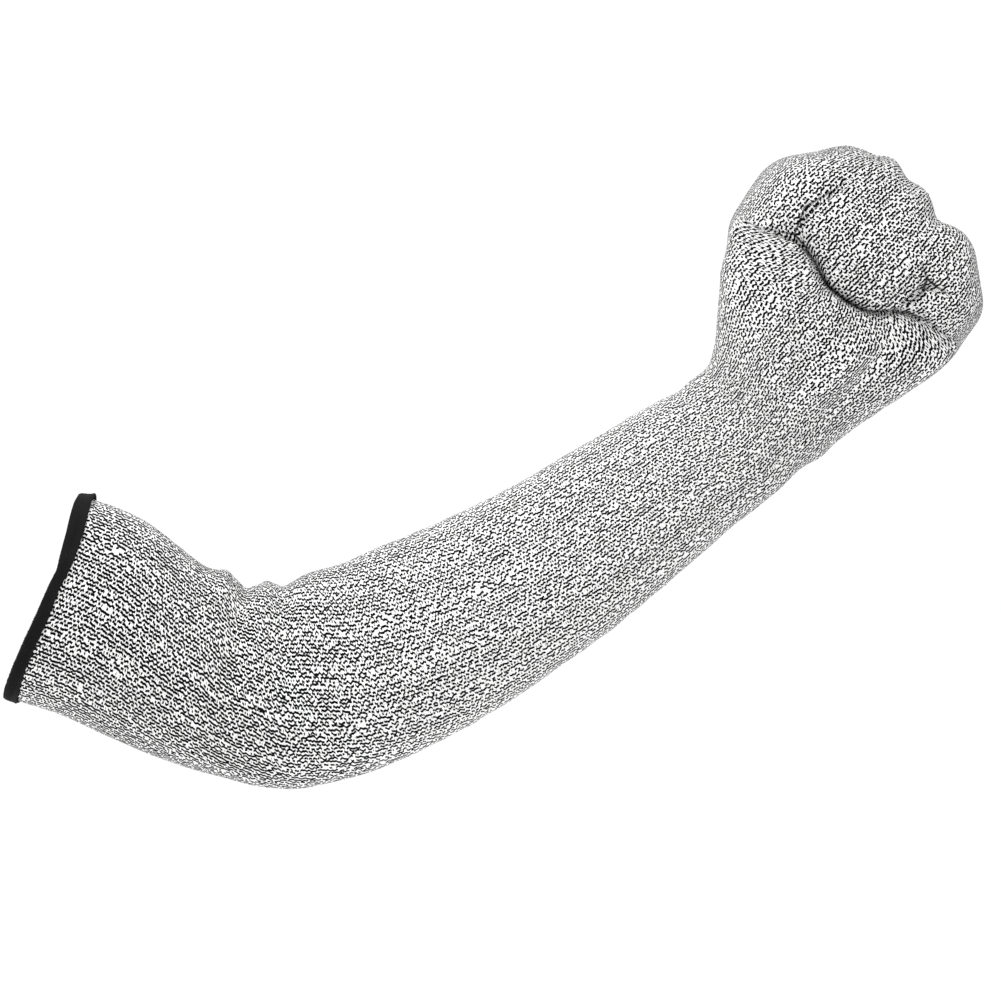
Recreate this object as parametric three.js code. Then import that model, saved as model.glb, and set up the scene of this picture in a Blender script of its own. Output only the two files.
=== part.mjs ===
// Cut resistant sleeve, shaped as it is worn: a bent left arm with the hand closed into a fist inside.
// It is one seamless knitted tube with a dark binding folded over the edge of its upper-arm opening.
// Millimetres, +Z up. The origin is the centre of the opening. The arm bends in the XZ plane,
// the palm faces -Y and the back of the hand +Y.
import * as THREE from 'three';

// Opening and arm
const openingWidth = 95;
const openingDepth = 92;
const elbowWidth = 88;
const elbowDepth = 84;
const wristWidth = 62;
const wristDepth = 46;
const upperArmLength = 94;
const forearmLength = 248;

// Closed hand: the palm runs from the wrist to the crease that the fabric is tucked into
const palmLength = 79;
const fistWidth = 115;
const fistDepth = 66;
const palmTilt = 52;
const tuckTilt = 61;
const tuckDepth = 10;
const tuckWidth = 8;
const creaseDepth = 5;
const creaseWidth = 5;

// Folds inside the bend of the elbow
const elbowFoldHeight = 2;
const elbowFoldWidth = 9;

// Fabric and binding
const knitWall = 1.6;
const bandWidth = 6.5;
const bandThickness = 1;
const bandGap = 0.3;
const bandRounding = 0.4;

// Fineness of the facets
const wales = 40;
const armCourse = 13;
const handCourses = 26;
const raysPerRing = 120;
const raySteps = 50;
const rayHalvings = 12;

// How the hand's rings advance, as shares of their run from the wrist to the crease: where the hand's
// own forms take over from the wrist's section, where the back half starts to turn over the knuckles,
// where the ring's ends start to close in, and where all rings start from the crease's centre
const handFormsFrom = 0.22;
const turnFrom = 0.12;
const closeFrom = 0.4;
const settledAt = 0.72;
// How fast the back half turns, how the rings crowd towards the crease, how far the wrist's own
// direction is kept, how square the first rings are, and how far the front half still leans back
// when the rings settle
const turnPower = 1.15;
const crowdPower = 1.25;
const wristCarry = 0.45;
const firstSquareness = 30;
const ovalPower = 2;
const palmLag = 38;

// Sections square to the arm. x and z place the section's centre from the start of its stretch,
// as shares of the stretch's length, and along is the share of the stretch that lies behind it.
// wide and deep are shares of the width and depth there, which change evenly along the stretch.
const upperArmRows = [
  { along: 0.00, x: 0.000, z: 0.000, tilt: -20, wide: 1.00, deep: 1.00 },
  { along: 0.28, x: 0.283, z: -0.107, tilt: -23, wide: 1.00, deep: 1.00 },
  { along: 0.69, x: 0.629, z: -0.302, tilt: -17, wide: 0.955, deep: 1.00 },
  { along: 1.00, x: 0.910, z: -0.398, tilt: -7, wide: 0.985, deep: 1.00 },
];
const forearmRows = [
  { along: 0.08, x: 0.080, z: -0.010, tilt: 1, wide: 1.055, deep: 1.03 },
  { along: 0.16, x: 0.155, z: 0.007, tilt: 8, wide: 1.105, deep: 1.05 },
  { along: 0.24, x: 0.231, z: 0.031, tilt: 15, wide: 1.11, deep: 1.055 },
  { along: 0.35, x: 0.328, z: 0.076, tilt: 22, wide: 1.12, deep: 1.045 },
  { along: 0.455, x: 0.421, z: 0.124, tilt: 27, wide: 1.105, deep: 1.02 },
  { along: 0.55, x: 0.501, z: 0.171, tilt: 30, wide: 1.085, deep: 1.015 },
  { along: 0.645, x: 0.581, z: 0.220, tilt: 31, wide: 1.075, deep: 1.01 },
  { along: 0.745, x: 0.661, z: 0.277, tilt: 33, wide: 1.06, deep: 1.00 },
  { along: 0.835, x: 0.732, z: 0.328, tilt: 36, wide: 1.035, deep: 1.00 },
  { along: 0.915, x: 0.798, z: 0.377, tilt: 40, wide: 1.015, deep: 1.00 },
  { along: 1.00, x: 0.869, z: 0.423, tilt: 43, wide: 1.00, deep: 1.00 },
];

// Rounded forms that the fabric is stretched over in the hand. along is a share of palmLength from
// the wrist, across a share of fistWidth towards the thumb, front a share of fistDepth towards the
// palm side. wide and deep are the form's radii as shares of fistWidth and fistDepth.
const handForms = [
  { name: 'heel', along: [0.00, 0.28], across: [0.00, -0.04], front: 0.00, wide: 0.256, deep: 0.35 },
  { name: 'core', along: [1.10, 1.10], across: [-0.01, -0.01], front: -0.03, wide: 0.413, deep: 0.47 },
  { name: 'ballOfThumb', along: [0.42, 0.84], across: [0.06, 0.25], front: 0.12, wide: 0.187, deep: 0.32 },
  { name: 'thumb', along: [1.08, 1.27], across: [0.33, 0.34], front: 0.06, wide: 0.191, deep: 0.38 },
  { name: 'outerPalm', along: [0.39, 1.12], across: [-0.13, -0.285], front: 0.03, wide: 0.188, deep: 0.35 },
  { name: 'firstKnuckle', along: [1.46, 1.46], across: [0.26, 0.26], front: -0.03, wide: 0.166, deep: 0.38 },
  { name: 'secondKnuckle', along: [1.55, 1.55], across: [0.16, 0.16], front: -0.06, wide: 0.168, deep: 0.41 },
  { name: 'thirdKnuckle', along: [1.50, 1.50], across: [0.01, 0.01], front: -0.06, wide: 0.155, deep: 0.41 },
  { name: 'littleFinger', along: [1.49, 1.36], across: [-0.22, -0.32], front: 0.03, wide: 0.148, deep: 0.38 },
  { name: 'fingerRoll', along: [1.29, 1.33], across: [0.28, -0.05], front: 0.21, wide: 0.191, deep: 0.35 },
];
const formBlend = 3.3;

// Creases of the closed hand, seen from the palm side. across and along are shares of fistWidth
// from the end of palmLength, and depth is a share of the crease's full depth.
const tuckRows = [
  { across: 0.43, along: 0.015, depth: 0.00 },
  { across: 0.33, along: 0.06, depth: 0.60 },
  { across: 0.29, along: 0.08, depth: 0.90 },
  { across: 0.22, along: 0.07, depth: 1.00 },
  { across: 0.15, along: 0.04, depth: 1.00 },
  { across: 0.08, along: 0.01, depth: 1.00 },
  { across: -0.02, along: 0.01, depth: 1.00 },
  { across: -0.12, along: 0.025, depth: 0.90 },
  { across: -0.17, along: 0.055, depth: 0.80 },
  { across: -0.23, along: 0.115, depth: 0.70 },
  { across: -0.30, along: 0.135, depth: 0.60 },
  { across: -0.42, along: 0.14, depth: 0.00 },
];
const fingerCreaseRows = [
  { across: 0.291, along: 0.082, depth: 1.00 },
  { across: 0.322, along: 0.184, depth: 1.00 },
  { across: 0.271, along: 0.318, depth: 0.50 },
  { across: 0.242, along: 0.418, depth: 0.00 },
];
const littleFingerCreaseRows = [
  { across: -0.215, along: 0.149, depth: 0.80 },
  { across: -0.225, along: 0.240, depth: 1.00 },
  { across: -0.257, along: 0.257, depth: 1.00 },
  { across: -0.357, along: 0.277, depth: 0.00 },
];

// Folds of the elbow, as x and z from the elbow's centre in shares of elbowWidth. height is a share
// of elbowFoldHeight, above zero for a ridge and below it for a valley.
const elbowFolds = [
  [{ x: -0.055, z: 0.57, height: 1.0 }, { x: -0.065, z: 0.30, height: 0.0 }],
  [{ x: 0.055, z: 0.53, height: -0.9 }, { x: 0.00, z: 0.20, height: -0.5 }, { x: 0.00, z: -0.10, height: 0.0 }],
  [{ x: 0.145, z: 0.54, height: 0.8 }, { x: 0.165, z: 0.30, height: 0.0 }],
  [{ x: 0.225, z: 0.51, height: -0.6 }, { x: 0.25, z: 0.10, height: -0.5 }, { x: 0.25, z: -0.30, height: 0.0 }],
];

const { lerp, smoothstep, clamp, degToRad } = THREE.MathUtils;
const front = new THREE.Vector3(0, -1, 0);

// Unit vectors in the XZ plane: along a direction tilted up from +X, and square to it on its upper side
const ahead = (tilt) => new THREE.Vector3(Math.cos(tilt), 0, Math.sin(tilt));
const upward = (tilt) => new THREE.Vector3(-Math.sin(tilt), 0, Math.cos(tilt));

// The arm: every section's centre, tilt and half sizes
function armSections() {
  const sections = [];
  const stretch = (rows, start, length, sizeBefore, sizeAfter) => {
    for (const row of rows) {
      sections.push({
        centre: new THREE.Vector3(start.x + row.x * length, 0, start.z + row.z * length),
        size: new THREE.Vector3(
          degToRad(row.tilt),
          lerp(sizeBefore.width, sizeAfter.width, row.along) * row.wide / 2,
          lerp(sizeBefore.depth, sizeAfter.depth, row.along) * row.deep / 2,
        ),
      });
    }
  };
  const opening = { width: openingWidth, depth: openingDepth };
  const elbow = { width: elbowWidth, depth: elbowDepth };
  const wrist = { width: wristWidth, depth: wristDepth };
  stretch(upperArmRows, new THREE.Vector3(), upperArmLength, opening, elbow);
  const elbowCentre = sections.at(-1).centre;
  stretch(forearmRows, elbowCentre, forearmLength, elbow, wrist);
  return { sections, elbowCentre };
}

const { sections, elbowCentre } = armSections();
const axis = new THREE.CatmullRomCurve3(sections.map((s) => s.centre), false, 'catmullrom', 0.5);
const axisSizes = new THREE.CatmullRomCurve3(sections.map((s) => s.size), false, 'catmullrom', 0.5);
axis.arcLengthDivisions = 1000;
const armLength = axis.getLength();
const wristCentre = sections.at(-1).centre;
const wristTilt = sections.at(-1).size.x;
const palmAhead = ahead(degToRad(palmTilt));
const palmUpward = upward(degToRad(palmTilt));
const tuckCentre = wristCentre.clone().addScaledVector(palmAhead, palmLength);

// Distance in the XZ plane from a point to a line of rows, with the row value at the nearest place
function nearestOnLine(point, line) {
  let best = { distance: Infinity, value: 0 };
  for (let i = 1; i < line.length; i++) {
    const a = line[i - 1];
    const b = line[i];
    const dx = b.x - a.x;
    const dz = b.z - a.z;
    const share = clamp(((point.x - a.x) * dx + (point.z - a.z) * dz) / (dx * dx + dz * dz), 0, 1);
    const distance = Math.hypot(point.x - a.x - share * dx, point.z - a.z - share * dz);
    if (distance < best.distance) best = { distance, value: lerp(a.value, b.value, share) };
  }
  return best;
}

const foldLines = elbowFolds.map((rows) => rows.map((row) => ({
  x: elbowCentre.x + row.x * elbowWidth,
  z: elbowCentre.z + row.z * elbowWidth,
  value: row.height * elbowFoldHeight,
})));

// How far the elbow's folds push the fabric out at a point of the arm
function foldHeight(point) {
  let height = 0;
  for (const line of foldLines) {
    const { distance, value } = nearestOnLine(point, line);
    const share = clamp(1 - (distance / elbowFoldWidth) ** 2, 0, 1);
    height += value * share * share;
  }
  return height;
}

// One ring of the arm at a distance from the opening: from the upper edge over the front and back
function armRing(distance) {
  const t = axis.getUtoTmapping(0, distance);
  const centre = axis.getPoint(t);
  const { x: tilt, y: halfWide, z: halfDeep } = axisSizes.getPoint(t);
  const top = upward(tilt);
  const ring = [];
  for (let i = 0; i < raysPerRing; i++) {
    const angle = (i / raysPerRing) * 2 * Math.PI;
    const spoke = top.clone().multiplyScalar(halfWide * Math.cos(angle))
      .addScaledVector(front, halfDeep * Math.sin(angle));
    const point = centre.clone().add(spoke);
    point.addScaledVector(spoke.normalize(), foldHeight(point));
    ring.push(point);
  }
  return ring;
}

const forms = handForms.map((form) => {
  const end = (i) => wristCentre.clone()
    .addScaledVector(palmAhead, form.along[i] * palmLength)
    .addScaledVector(palmUpward, form.across[i] * fistWidth)
    .addScaledVector(front, form.front * fistDepth);
  return { from: end(0), to: end(1), wide: form.wide * fistWidth, deep: form.deep * fistDepth };
});

// Distance to the stretched forms of the hand, below zero inside them
function handDistance(point) {
  let sum = 0;
  for (const form of forms) {
    const run = form.to.clone().sub(form.from);
    const away = point.clone().sub(form.from);
    const length = run.lengthSq();
    if (length > 0) away.addScaledVector(run, -clamp(away.dot(run) / length, 0, 1));
    const size = new THREE.Vector3(form.wide, form.deep, form.wide);
    const scaled = away.clone().divide(size);
    const slope = scaled.clone().divide(size).length();
    const distance = scaled.length() * (scaled.length() - 1) / Math.max(slope, 1e-9);
    sum += Math.exp(-clamp(distance / formBlend, -20, 20));
  }
  return -formBlend * Math.log(sum);
}

// Length of a ray from inside the hand to its outermost surface
function castRay(start, direction) {
  const reach = fistWidth;
  const step = reach / raySteps;
  let outside = reach;
  let inside = reach - step;
  while (inside > step && handDistance(start.clone().addScaledVector(direction, inside)) > 0) {
    outside = inside;
    inside -= step;
  }
  for (let i = 0; i < rayHalvings; i++) {
    const middle = (inside + outside) / 2;
    if (handDistance(start.clone().addScaledVector(direction, middle)) > 0) outside = middle;
    else inside = middle;
  }
  return (inside + outside) / 2;
}

function creaseLine(rows) {
  return rows.map((row) => {
    const place = tuckCentre.clone().addScaledVector(palmUpward, row.across * fistWidth)
      .addScaledVector(palmAhead, row.along * fistWidth);
    return { x: place.x, z: place.z, value: row.depth };
  });
}
const tuckLine = creaseLine(tuckRows);
const smallCreases = [creaseLine(fingerCreaseRows), creaseLine(littleFingerCreaseRows)];

// How deep the creases draw the fabric in at a point of the hand, on its palm side
function creaseAt(point) {
  const cut = (line, depth, width) => {
    const { distance, value } = nearestOnLine(point, line);
    return value * depth * clamp(1 - distance / width, 0, 1) ** 2;
  };
  const small = Math.max(...smallCreases.map((line) => cut(line, creaseDepth, creaseWidth)));
  const palmSide = clamp((tuckWidth / 4 - point.y) / (1.5 * tuckWidth), 0, 1);
  return (cut(tuckLine, tuckDepth, tuckWidth) + small) * palmSide;
}

// A direction in the hand: turned sideways out of the arm's plane of symmetry towards the thumb, and
// leaning from the arm's direction towards the palm side
function handDirection(tilt, sideways, lean) {
  return upward(tilt).multiplyScalar(Math.sin(sideways))
    .addScaledVector(ahead(tilt), Math.cos(sideways) * Math.cos(lean))
    .addScaledVector(front, Math.cos(sideways) * Math.sin(lean));
}

// The crease as directions from its centre inside the hand, from the little finger to the thumb
function tuckDirections() {
  const tilt = degToRad(tuckTilt);
  const step = fistDepth / raySteps;
  return tuckLine.map((place) => {
    const hit = new THREE.Vector3(place.x, -fistDepth, place.z);
    while (hit.y < 0 && handDistance(hit) > 0) hit.y += step;
    hit.sub(tuckCentre);
    const along = hit.dot(ahead(tilt));
    return {
      sideways: Math.atan2(hit.dot(upward(tilt)), Math.hypot(along, hit.y)),
      lean: Math.atan2(-hit.y, along),
    };
  }).sort((a, b) => a.sideways - b.sideways);
}

function tuckLean(tuck, sideways) {
  const after = tuck.findIndex((place) => place.sideways >= sideways);
  if (after < 0) return tuck.at(-1).lean;
  if (after === 0) return tuck[0].lean;
  const a = tuck[after - 1];
  const b = tuck[after];
  return lerp(a.lean, b.lean, (sideways - a.sideways) / (b.sideways - a.sideways));
}

// One ring of the hand. share runs from 0 at the wrist to 1 in the crease. The ring's front half
// climbs the palm while its back half goes over the back of the hand, the knuckles and down the
// fingers, and its two ends close in on the ends of the crease.
function handRing(share, tuck) {
  const climb = clamp(share / settledAt, 0, 1);
  const close = clamp((share - settledAt) / (1 - settledAt), 0, 1);
  const tilt = lerp(wristTilt, degToRad(tuckTilt), smoothstep(climb, 0, 1));
  const bend = wristCentre.clone().addScaledVector(ahead(wristTilt), palmLength * wristCarry);
  const start = new THREE.QuadraticBezierCurve3(wristCentre, bend, tuckCentre).getPoint(climb);
  const turn = clamp((share - turnFrom) / (1 - turnFrom), 0, 1) ** turnPower;
  const closing = clamp((share - closeFrom) / (1 - closeFrom), 0, 1);
  const squareness = ovalPower + firstSquareness * (1 - closing) ** 4;
  const blend = smoothstep(share, 0, handFormsFrom);
  const lag = degToRad(palmLag);
  const ring = [];
  for (let i = 0; i < raysPerRing; i++) {
    const around = 4 * i / raysPerRing;
    const isFront = around <= 2;
    const place = isFront ? 1 - around : around - 3;
    const end = place > 0 ? tuck.at(-1).sideways : -tuck[0].sideways;
    const sideways = place * lerp(Math.PI / 2, end, smoothstep(closing, 0, 1));
    const bulge = (1 - Math.abs(place) ** squareness) ** (1 / squareness);
    const meeting = tuckLean(tuck, sideways);
    const frontLean = lerp(Math.PI / 2, meeting + lag, smoothstep(climb, 0, 1)) - lag * close;
    const backLean = lerp(-Math.PI / 2, meeting, turn);
    const middle = (frontLean + backLean) / 2;
    const lean = middle + (isFront ? frontLean - middle : backLean - middle) * bulge;
    const direction = handDirection(tilt, sideways, lean);
    const wristRadius = 1 / Math.hypot(Math.sin(sideways) / (wristWidth / 2), Math.cos(sideways) / (wristDepth / 2));
    const radius = lerp(wristRadius, castRay(start, direction), blend);
    const surface = start.clone().addScaledVector(direction, radius);
    ring.push(start.clone().addScaledVector(direction, radius - blend * creaseAt(surface)));
  }
  return ring;
}

// The same number of points on every ring, evenly spaced along its front half and its back half
function evenRing(ring) {
  const half = ring.length / 2;
  const points = [];
  for (const from of [0, half]) {
    const line = [];
    for (let i = from; i <= from + half; i++) line.push(ring[i % ring.length]);
    const path = new THREE.CurvePath();
    for (let i = 1; i < line.length; i++) path.add(new THREE.LineCurve3(line[i - 1], line[i]));
    for (let i = 0; i < wales / 2; i++) points.push(path.getPoint(i / (wales / 2)));
  }
  return points;
}

// All rings of the knit's outer face, from its edge inside the binding to the crease
function knitRings() {
  const rings = [];
  const edge = bandThickness + bandGap;
  const armRings = Math.round((armLength - bandWidth) / armCourse);
  rings.push(armRing(edge));
  for (let i = 0; i < armRings; i++) rings.push(armRing(lerp(bandWidth, armLength, i / armRings)));
  const tuck = tuckDirections();
  for (let i = 0; i <= handCourses; i++) {
    rings.push(handRing(1 - (1 - i / handCourses) ** crowdPower, tuck));
  }
  return rings.map(evenRing);
}

// Index of a grid point. The last ring closes on itself, front half on back half.
function gridIndex(rings, i, j) {
  const place = (j + wales) % wales;
  const isLast = i === rings.length - 1;
  return i * wales + (isLast ? Math.min(place, (wales - place) % wales) : place);
}

function gridFaces(rings, offset, flipped) {
  const faces = [];
  for (let i = 0; i + 1 < rings.length; i++) {
    for (let j = 0; j < wales; j++) {
      const a = offset + gridIndex(rings, i, j);
      const b = offset + gridIndex(rings, i, j + 1);
      const c = offset + gridIndex(rings, i + 1, j + 1);
      const d = offset + gridIndex(rings, i + 1, j);
      for (const face of [[a, b, c], [a, c, d]]) {
        if (new Set(face).size === 3) faces.push(flipped ? face.reverse() : face);
      }
    }
  }
  return faces;
}

function meshGeometry(points, faces) {
  const geometry = new THREE.BufferGeometry();
  geometry.setAttribute('position', new THREE.Float32BufferAttribute(points.flatMap((p) => p.toArray()), 3));
  geometry.setIndex(faces.flat());
  geometry.computeVertexNormals();
  return geometry;
}

// The knitted tube: an outer face, the same face one wall further in, and the rim that joins them
function knitGeometry() {
  const rings = knitRings();
  const outer = rings.flat();
  const normals = meshGeometry(outer, gridFaces(rings, 0, false)).getAttribute('normal');
  const mouth = ahead(sections[0].size.x);
  const inner = outer.map((point, i) => {
    const index = gridIndex(rings, Math.floor(i / wales), i % wales);
    const normal = new THREE.Vector3().fromBufferAttribute(normals, index);
    if (i < wales) normal.addScaledVector(mouth, -normal.dot(mouth)).normalize();
    return point.clone().addScaledVector(normal, -knitWall);
  });
  const faces = [...gridFaces(rings, 0, false), ...gridFaces(rings, outer.length, true)];
  for (let j = 0; j < wales; j++) {
    const next = (j + 1) % wales;
    faces.push([j, outer.length + j, outer.length + next], [j, outer.length + next, next]);
  }
  const used = [...new Set(faces.flat())];
  const renumbered = new Map(used.map((index, i) => [index, i]));
  const all = [...outer, ...inner];
  return meshGeometry(used.map((i) => all[i]), faces.map((face) => face.map((i) => renumbered.get(i))));
}

// The binding: a rounded U folded over the knit's edge. distance is measured along the arm from the
// opening, out from the knit's outer face.
function bandGeometry() {
  const top = bandGap + bandThickness;
  const under = -knitWall - bandGap;
  const bottom = under - bandThickness;
  const profile = [
    { distance: 0, out: bottom + bandRounding },
    { distance: bandRounding, out: bottom },
    { distance: bandWidth, out: bottom },
    { distance: bandWidth, out: under },
    { distance: bandThickness, out: under },
    { distance: bandThickness, out: bandGap },
    { distance: bandWidth, out: bandGap },
    { distance: bandWidth, out: top },
    { distance: bandRounding, out: top },
    { distance: 0, out: top - bandRounding },
  ];
  const mouth = ahead(sections[0].size.x);
  const points = profile.flatMap(({ distance, out }) => {
    const ring = evenRing(armRing(distance));
    return ring.map((point, j) => {
      const along = ring[(j + 1) % wales].clone().sub(ring[(j + wales - 1) % wales]);
      const normal = along.cross(mouth).normalize();
      return point.clone().addScaledVector(normal, out);
    });
  });
  const faces = [];
  for (let i = 0; i < profile.length; i++) {
    const row = i * wales;
    const nextRow = ((i + 1) % profile.length) * wales;
    for (let j = 0; j < wales; j++) {
      const next = (j + 1) % wales;
      faces.push([row + j, nextRow + j, nextRow + next], [row + j, nextRow + next, row + next]);
    }
  }
  return meshGeometry(points, faces);
}

function piece(name, geometry, material) {
  const mesh = new THREE.Mesh(geometry, new THREE.MeshStandardMaterial(material));
  mesh.name = name;
  return mesh;
}

const sleeve = new THREE.Group();
sleeve.add(piece('knit_sleeve', knitGeometry(), { color: 0xb4b4b4, roughness: 0.9, metalness: 0 }));
sleeve.add(piece('edge_band', bandGeometry(), { color: 0x252424, roughness: 0.85, metalness: 0 }));

export default sleeve;
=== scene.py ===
import math

import bpy
import numpy as np
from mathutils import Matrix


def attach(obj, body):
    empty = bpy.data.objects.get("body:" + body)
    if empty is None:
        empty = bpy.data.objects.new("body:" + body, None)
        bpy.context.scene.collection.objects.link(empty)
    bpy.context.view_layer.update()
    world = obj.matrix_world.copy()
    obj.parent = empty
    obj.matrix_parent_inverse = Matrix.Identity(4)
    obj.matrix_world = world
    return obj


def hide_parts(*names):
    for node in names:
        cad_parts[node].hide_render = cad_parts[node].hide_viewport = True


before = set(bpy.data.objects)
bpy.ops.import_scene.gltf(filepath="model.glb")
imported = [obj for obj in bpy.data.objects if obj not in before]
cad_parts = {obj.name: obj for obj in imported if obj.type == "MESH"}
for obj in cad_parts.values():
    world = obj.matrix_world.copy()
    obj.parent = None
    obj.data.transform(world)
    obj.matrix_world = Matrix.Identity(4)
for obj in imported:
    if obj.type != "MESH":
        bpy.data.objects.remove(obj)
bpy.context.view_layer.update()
print("solids loaded:", ", ".join(sorted(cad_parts)))

millimetre = 0.001
front = np.array([0.0, -1.0, 0.0])

# Sizes of the worn sleeve in millimetres and tilts in degrees, the same as the solids have
worn = {
    "openingWidth": 95, "openingDepth": 92,
    "elbowWidth": 88, "elbowDepth": 84,
    "wristWidth": 62, "wristDepth": 46,
    "upperArmLength": 94, "forearmLength": 248,
    "palmLength": 79, "fistWidth": 115, "fistDepth": 66,
    "palmTilt": 52, "tuckTilt": 61,
    "tuckDepth": 10, "tuckWidth": 8,
    "creaseDepth": 5,
    "elbowFoldHeight": 2, "elbowFoldWidth": 9,
    "formBlend": 3.3,
    # how the closed end's rings advance from the narrow place before it to the crease
    "handFormsFrom": 0.22, "turnFrom": 0.12, "closeFrom": 0.4, "settledAt": 0.72,
    "turnPower": 1.15, "crowdPower": 1.25, "wristCarry": 0.45, "firstSquareness": 30, "palmLag": 38,
}

# Sections square to the tube: share of the stretch behind, x, z, tilt, share of width, share of depth
upperArmRows = [
    (0.00, 0.000, 0.000, -20, 1.00, 1.00),
    (0.28, 0.283, -0.107, -23, 1.00, 1.00),
    (0.69, 0.629, -0.302, -17, 0.955, 1.00),
    (1.00, 0.910, -0.398, -7, 0.985, 1.00),
]
forearmRows = [
    (0.08, 0.080, -0.010, 1, 1.055, 1.03),
    (0.16, 0.155, 0.007, 8, 1.105, 1.05),
    (0.24, 0.231, 0.031, 15, 1.11, 1.055),
    (0.35, 0.328, 0.076, 22, 1.12, 1.045),
    (0.455, 0.421, 0.124, 27, 1.105, 1.02),
    (0.55, 0.501, 0.171, 30, 1.085, 1.015),
    (0.645, 0.581, 0.220, 31, 1.075, 1.01),
    (0.745, 0.661, 0.277, 33, 1.06, 1.00),
    (0.835, 0.732, 0.328, 36, 1.035, 1.00),
    (0.915, 0.798, 0.377, 40, 1.015, 1.00),
    (1.00, 0.869, 0.423, 43, 1.00, 1.00),
]
# Rounded forms of the closed end: along (from, to), across (from, to), front, radius wide, radius deep
handForms = {
    "heel": ((0.00, 0.28), (0.00, -0.04), 0.00, 0.256, 0.35),
    "core": ((1.10, 1.10), (-0.01, -0.01), -0.03, 0.413, 0.47),
    "ballOfThumb": ((0.42, 0.84), (0.06, 0.25), 0.12, 0.187, 0.32),
    "thumb": ((1.08, 1.27), (0.33, 0.34), 0.06, 0.191, 0.38),
    "outerPalm": ((0.39, 1.12), (-0.13, -0.285), 0.03, 0.188, 0.35),
    "firstKnuckle": ((1.46, 1.46), (0.26, 0.26), -0.03, 0.166, 0.38),
    "secondKnuckle": ((1.55, 1.55), (0.16, 0.16), -0.06, 0.168, 0.41),
    "thirdKnuckle": ((1.50, 1.50), (0.01, 0.01), -0.06, 0.155, 0.41),
    "littleFinger": ((1.49, 1.36), (-0.22, -0.32), 0.03, 0.148, 0.38),
    "fingerRoll": ((1.29, 1.33), (0.28, -0.05), 0.21, 0.191, 0.35),
}
# Creases seen from the front: across and along in shares of fistWidth, share of full depth
tuckRows = [
    (0.43, 0.015, 0.0), (0.33, 0.06, 0.6), (0.29, 0.08, 0.9), (0.22, 0.07, 1.0), (0.15, 0.04, 1.0),
    (0.08, 0.01, 1.0), (-0.02, 0.01, 1.0), (-0.12, 0.025, 0.9), (-0.17, 0.055, 0.8),
    (-0.23, 0.115, 0.7), (-0.30, 0.135, 0.6), (-0.42, 0.14, 0.0),
]
fingerCreaseRows = [(0.291, 0.082, 1.0), (0.322, 0.184, 1.0), (0.271, 0.318, 0.5), (0.242, 0.418, 0.0)]
littleFingerCreaseRows = [
    (-0.215, 0.149, 0.8), (-0.225, 0.240, 1.0), (-0.257, 0.257, 1.0), (-0.357, 0.277, 0.0),
]
# Folds at the tube's bend, from the bend's centre in shares of elbowWidth: x, z, share of the height
elbowFolds = [
    [(-0.055, 0.57, 1.0), (-0.065, 0.30, 0.0)],
    [(0.055, 0.53, -0.9), (0.00, 0.20, -0.5), (0.00, -0.10, 0.0)],
    [(0.145, 0.54, 0.8), (0.165, 0.30, 0.0)],
    [(0.225, 0.51, -0.6), (0.25, 0.10, -0.5), (0.25, -0.30, 0.0)],
]


def smooth(value, low, high):
    share = np.clip((value - low) / (high - low), 0, 1)
    return share * share * (3 - 2 * share)


def mix(a, b, share):
    return a + (b - a) * share


def ahead(tilt):
    return np.stack([np.cos(tilt), 0 * tilt, np.sin(tilt)], -1)


def upward(tilt):
    return np.stack([-np.sin(tilt), 0 * tilt, np.cos(tilt)], -1)


def splineAt(points, t):
    # uniform Catmull-Rom with the end tangents carried straight on
    padded = np.vstack([2 * points[0] - points[1], points, 2 * points[-1] - points[-2]])
    cell = np.clip(np.floor(t).astype(int), 0, len(points) - 2)
    f = (t - cell)[..., None]
    a, b, c, d = (padded[cell + k] for k in range(4))
    square = (2 * a - 5 * b + 4 * c - d) * f ** 2
    cube = (3 * b - a - 3 * c + d) * f ** 3
    return 0.5 * (2 * b + (c - a) * f + square + cube)


def armSections():
    sections = []

    def stretch(rows, start, length, before, after):
        for along, x, z, tilt, wide, deep in rows:
            sections.append((start[0] + x * length, start[1] + z * length, math.radians(tilt),
                             mix(before[0], after[0], along) * wide / 2,
                             mix(before[1], after[1], along) * deep / 2))

    opening = (worn["openingWidth"], worn["openingDepth"])
    elbow = (worn["elbowWidth"], worn["elbowDepth"])
    wrist = (worn["wristWidth"], worn["wristDepth"])
    stretch(upperArmRows, (0, 0), worn["upperArmLength"], opening, elbow)
    elbowCentre = sections[-1][:2]
    stretch(forearmRows, elbowCentre, worn["forearmLength"], elbow, wrist)
    return np.array(sections), np.array(elbowCentre)


sections, elbowCentre = armSections()
axisT = np.linspace(0, len(sections) - 1, 1001)
axisPoints = splineAt(sections, axisT)[:, :2]
axisRun = np.r_[0, np.cumsum(np.linalg.norm(np.diff(axisPoints, axis=0), axis=1))]
armLength = axisRun[-1]
wristCentre = np.array([sections[-1][0], 0, sections[-1][1]])
wristTilt = sections[-1][2]
palmAhead = ahead(np.radians(worn["palmTilt"]))
palmUpward = upward(np.radians(worn["palmTilt"]))
tuckTilt = math.radians(worn["tuckTilt"])
tuckCentre = wristCentre + palmAhead * worn["palmLength"]


def nearestOnLine(x, z, line):
    # distance to a line of (x, z, value) in the tube's plane, and the value at the nearest place
    distance = np.full(np.shape(x), np.inf)
    value = np.zeros(np.shape(x))
    for (ax, az, av), (bx, bz, bv) in zip(line[:-1], line[1:]):
        dx, dz = bx - ax, bz - az
        share = np.clip(((x - ax) * dx + (z - az) * dz) / (dx * dx + dz * dz), 0, 1)
        here = np.hypot(x - ax - share * dx, z - az - share * dz)
        value = np.where(here < distance, mix(av, bv, share), value)
        distance = np.minimum(distance, here)
    return distance, value


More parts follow.
